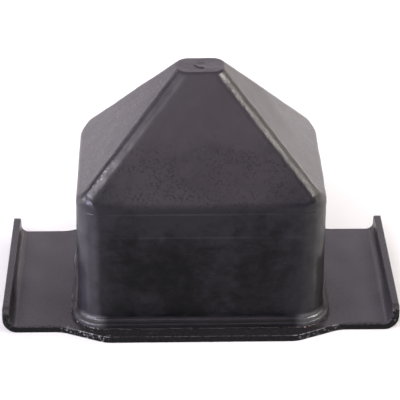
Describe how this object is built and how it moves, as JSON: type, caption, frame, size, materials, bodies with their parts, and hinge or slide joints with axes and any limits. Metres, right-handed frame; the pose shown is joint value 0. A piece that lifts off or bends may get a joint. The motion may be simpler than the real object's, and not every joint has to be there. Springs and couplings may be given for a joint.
{
  "type": "suspension bump stop",
  "caption": "Rubber bump stop with a blunt pyramid head, bonded to a bent steel carrier plate that slides into a chassis bracket.",
  "frame": {"origin": "middle of the carrier plate's flat underside", "axes": "+X along the plate from one turned-up end to the other, +Y across the plate, +Z out of the plate towards the head of the rubber"},
  "size_m": [0.16, 0.086, 0.1031],
  "materials": {
    "plate_paint": "black paint, satin on the faces and glossier where it has gathered on the cut edges",
    "bond_film": "cured bonding agent, dark and uneven",
    "rubber": "moulded natural rubber, satin with a grey bloom"
  },
  "bodies": {
    "root": {"carrier_plate": "plate_paint", "bond_film": "bond_film", "rubber_buffer": "rubber"}
  },
  "joints": []
}
